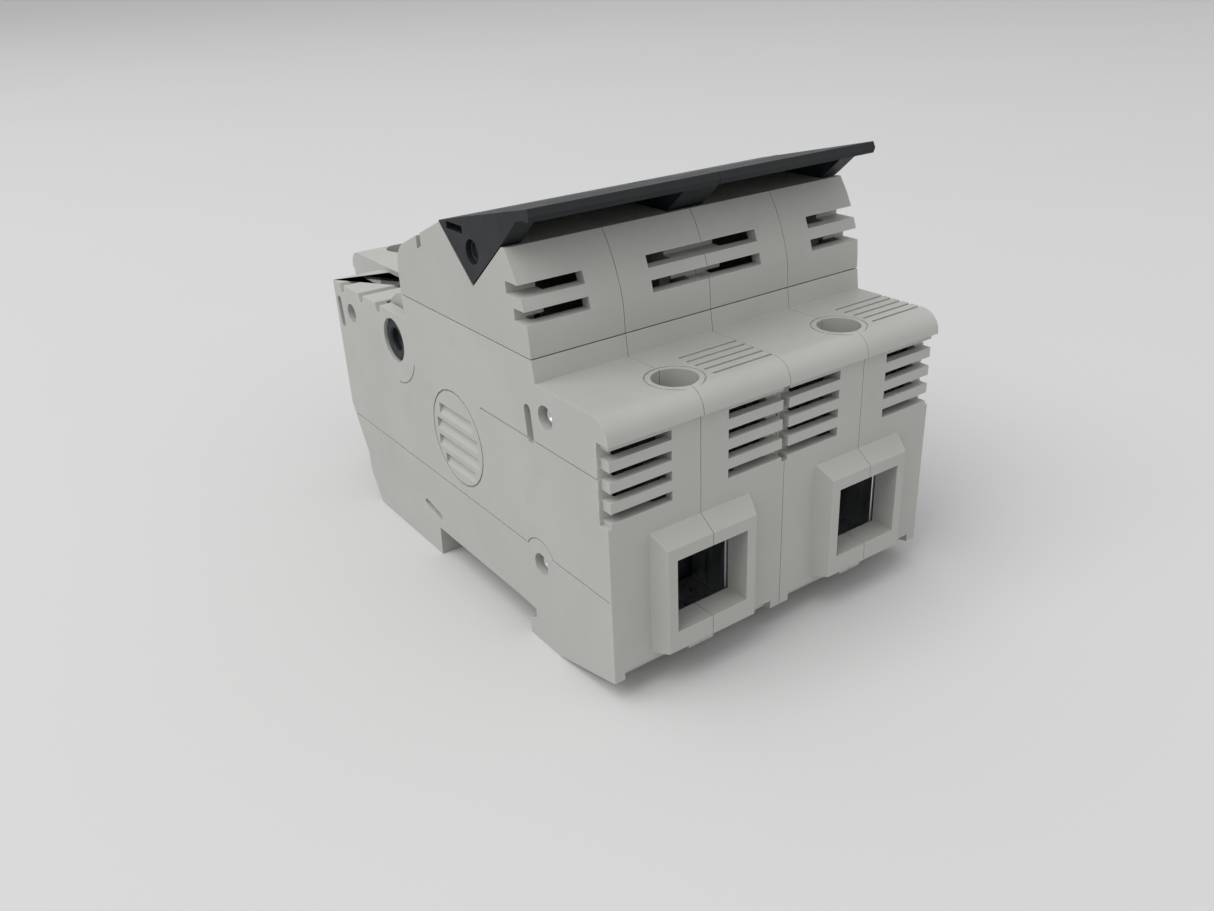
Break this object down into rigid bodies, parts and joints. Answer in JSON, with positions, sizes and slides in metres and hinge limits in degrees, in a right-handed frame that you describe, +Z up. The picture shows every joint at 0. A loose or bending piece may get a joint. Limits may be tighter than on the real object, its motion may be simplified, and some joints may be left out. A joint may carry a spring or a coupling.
{
  "type": "din rail fuse holder",
  "caption": "DIN rail holder for large cylindrical fuse links: light grey housing, tilting fuse carrier with a dark full-width handle, screw cage terminals front and rear.",
  "frame": {"origin": "centre of the bounding box, at the housing's lowest face", "axes": "+Z up, away from the rail; +Y from the front terminals (the side the handle's lip points to) to the rear terminals; X across the poles"},
  "size_m": [0.0698, 0.1156, 0.0751],
  "materials": {
    "housing": "fine moulded satin, light warm grey",
    "carrier": "fine moulded satin, light warm grey",
    "handle": "moulded satin, dark slate",
    "steel": "zinc plated",
    "silvered": "silver-plated copper alloy",
    "ceramic": "smooth fired ceramic, off-white"
  },
  "bodies": {
    "housing": {"left_pole_housing_left_shell": "housing", "left_pole_housing_right_shell": "housing", "left_pole_front_jaw": "silvered", "left_pole_rear_jaw": "silvered", "left_pole_tie_rivet_1": "steel", "left_pole_tie_rivet_2": "steel", "left_pole_tie_rivet_3": "steel", "right_pole_housing_left_shell": "housing", "right_pole_housing_right_shell": "housing", "right_pole_front_jaw": "silvered", "right_pole_rear_jaw": "silvered", "right_pole_tie_rivet_1": "steel", "right_pole_tie_rivet_2": "steel", "right_pole_tie_rivet_3": "steel", "pivot_bush_left": "handle", "pivot_bush_centre": "handle", "pivot_bush_right": "handle"},
    "carrier": {"left_pole_carrier_left_shell": "carrier", "left_pole_carrier_right_shell": "carrier", "left_pole_handle": "handle", "left_pole_fuse_tube": "ceramic", "left_pole_fuse_front_cap": "silvered", "left_pole_fuse_rear_cap": "silvered", "right_pole_carrier_left_shell": "carrier", "right_pole_carrier_right_shell": "carrier", "right_pole_handle": "handle", "right_pole_fuse_tube": "ceramic", "right_pole_fuse_front_cap": "silvered", "right_pole_fuse_rear_cap": "silvered", "handle_tie_rod": "handle"},
    "left_front_terminal_cage": {"left_pole_front_terminal_cage": "steel"},
    "left_rear_terminal_cage": {"left_pole_rear_terminal_cage": "steel"},
    "left_front_terminal_screw": {"left_pole_front_terminal_screw": "steel"},
    "left_rear_terminal_screw": {"left_pole_rear_terminal_screw": "steel"},
    "left_rail_latch": {"left_pole_rail_latch": "handle"},
    "right_front_terminal_cage": {"right_pole_front_terminal_cage": "steel"},
    "right_rear_terminal_cage": {"right_pole_rear_terminal_cage": "steel"},
    "right_front_terminal_screw": {"right_pole_front_terminal_screw": "steel"},
    "right_rear_terminal_screw": {"right_pole_rear_terminal_screw": "steel"},
    "right_rail_latch": {"right_pole_rail_latch": "handle"}
  },
  "joints": [
    {"name": "carrier_hinge", "type": "hinge", "parent": "housing", "child": "carrier", "pos_m": [0, 0.01345, 0.0421], "axis": [-1, 0, 0], "range_deg": [0, 85]},
    {"name": "left_rail_latch_slide", "type": "slide", "parent": "housing", "child": "left_rail_latch", "axis": [0, 1, 0], "range_m": [0, 0.004], "stiffness_N_per_m": 600, "springref_m": -0.002},
    {"name": "left_front_screw_turn", "type": "hinge", "parent": "housing", "child": "left_front_terminal_screw", "pos_m": [-0.0175, -0.04875, 0.0399], "axis": [0, 0, -1], "range_deg": [0, 2880]},
    {"name": "left_front_cage_lift", "type": "slide", "parent": "housing", "child": "left_front_terminal_cage", "axis": [0, 0, 1], "range_m": [0, 0.0063]},
    {"name": "left_rear_screw_turn", "type": "hinge", "parent": "housing", "child": "left_rear_terminal_screw", "pos_m": [-0.0145, 0.04995, 0.0399], "axis": [0, 0, -1], "range_deg": [0, 2880]},
    {"name": "left_rear_cage_lift", "type": "slide", "parent": "housing", "child": "left_rear_terminal_cage", "axis": [0, 0, 1], "range_m": [0, 0.0063]},
    {"name": "right_rail_latch_slide", "type": "slide", "parent": "housing", "child": "right_rail_latch", "axis": [0, 1, 0], "range_m": [0, 0.004], "stiffness_N_per_m": 600, "springref_m": -0.002},
    {"name": "right_front_screw_turn", "type": "hinge", "parent": "housing", "child": "right_front_terminal_screw", "pos_m": [0.0175, -0.04875, 0.0399], "axis": [0, 0, -1], "range_deg": [0, 2880]},
    {"name": "right_front_cage_lift", "type": "slide", "parent": "housing", "child": "right_front_terminal_cage", "axis": [0, 0, 1], "range_m": [0, 0.0063]},
    {"name": "right_rear_screw_turn", "type": "hinge", "parent": "housing", "child": "right_rear_terminal_screw", "pos_m": [0.0205, 0.04995, 0.0399], "axis": [0, 0, -1], "range_deg": [0, 2880]},
    {"name": "right_rear_cage_lift", "type": "slide", "parent": "housing", "child": "right_rear_terminal_cage", "axis": [0, 0, 1], "range_m": [0, 0.0063]}
  ],
  "couplings": [
    {"joint": "left_front_screw_turn", "follows": "left_front_cage_lift", "rad_per_m": 7854},
    {"joint": "left_rear_screw_turn", "follows": "left_rear_cage_lift", "rad_per_m": 7854},
    {"joint": "right_front_screw_turn", "follows": "right_front_cage_lift", "rad_per_m": 7854},
    {"joint": "right_rear_screw_turn", "follows": "right_rear_cage_lift", "rad_per_m": 7854}
  ]
}
